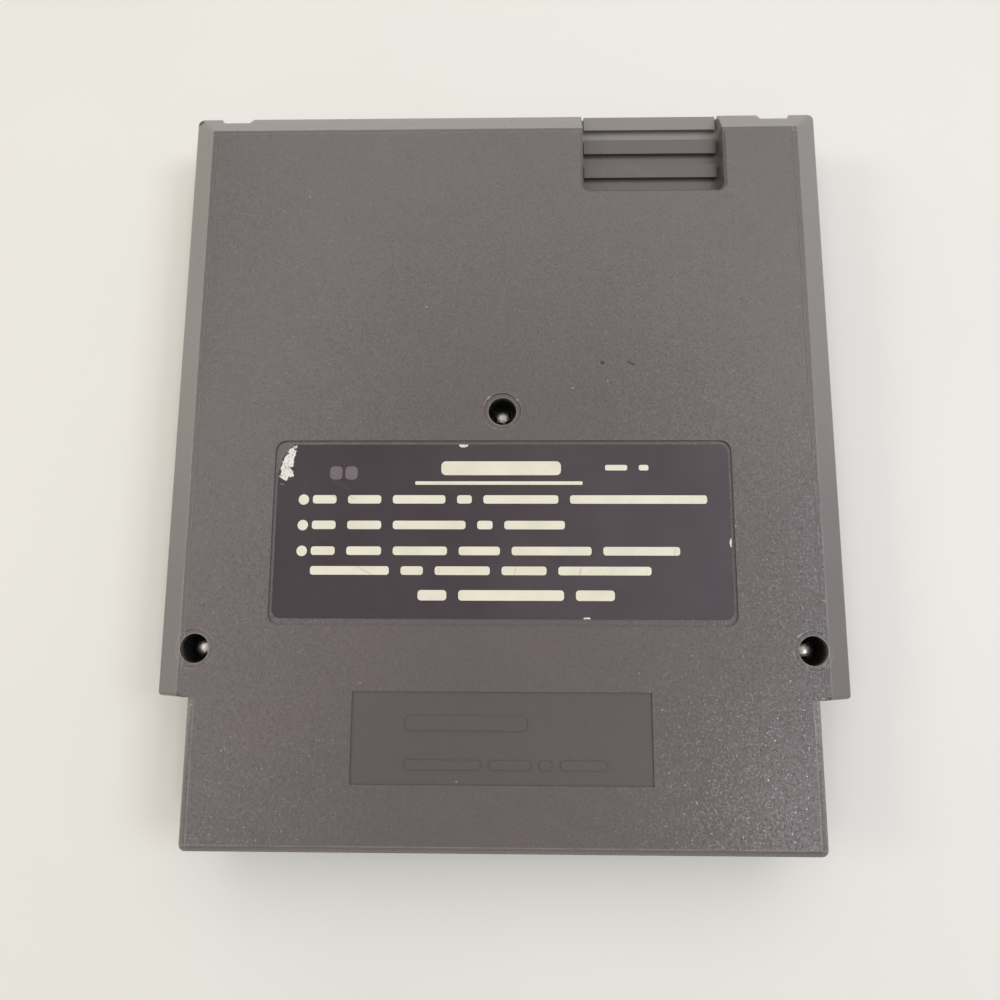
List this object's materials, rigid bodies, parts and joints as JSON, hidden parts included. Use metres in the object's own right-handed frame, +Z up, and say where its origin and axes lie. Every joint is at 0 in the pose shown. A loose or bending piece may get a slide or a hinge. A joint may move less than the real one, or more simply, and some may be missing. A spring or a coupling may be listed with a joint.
{
  "type": "game cartridge",
  "caption": "Flat grey plastic game cartridge with a narrower plug end, a board with gold edge contacts in its mouth, a ribbed finger recess and sunk screws",
  "frame": {"origin": "Under the middle of the cartridge, on the surface that it lies on.", "axes": "X across the cartridge, Y from the plug end to the top end with the finger recess, Z up from the front face, which lies down, to the back face."},
  "size_m": [0.12, 0.135, 0.017],
  "materials": {
    "shell_plastic": "fine spark-eroded grain, lightly worn",
    "label_print": "dark satin sticker with pale print",
    "screw_steel": "bright plated steel",
    "board_laminate": "green coated laminate",
    "contact_gold": "gold plating",
    "chip_epoxy": "black moulded epoxy",
    "lead_tin": "tinned",
    "can_sleeve": "shrunk plastic sleeve",
    "ceramic_dip": "dipped coating",
    "resistor_body": "lacquered",
    "solder": "bright solder"
  },
  "bodies": {
    "root": {"rear_shell": "shell_plastic", "front_shell": "shell_plastic", "rear_label": "label_print", "case_screws": "screw_steel", "circuit_board": "board_laminate", "edge_contacts": "contact_gold", "program_chip": "chip_epoxy", "program_chip_leads": "lead_tin", "picture_chip": "chip_epoxy", "picture_chip_leads": "lead_tin", "lockout_chip": "chip_epoxy", "lockout_chip_leads": "lead_tin", "smoothing_capacitor": "can_sleeve", "smoothing_capacitor_leads": "lead_tin", "ceramic_capacitors": "ceramic_dip", "ceramic_capacitor_leads": "lead_tin", "resistors": "resistor_body", "resistor_leads": "lead_tin", "solder_joints": "solder"}
  },
  "joints": []
}
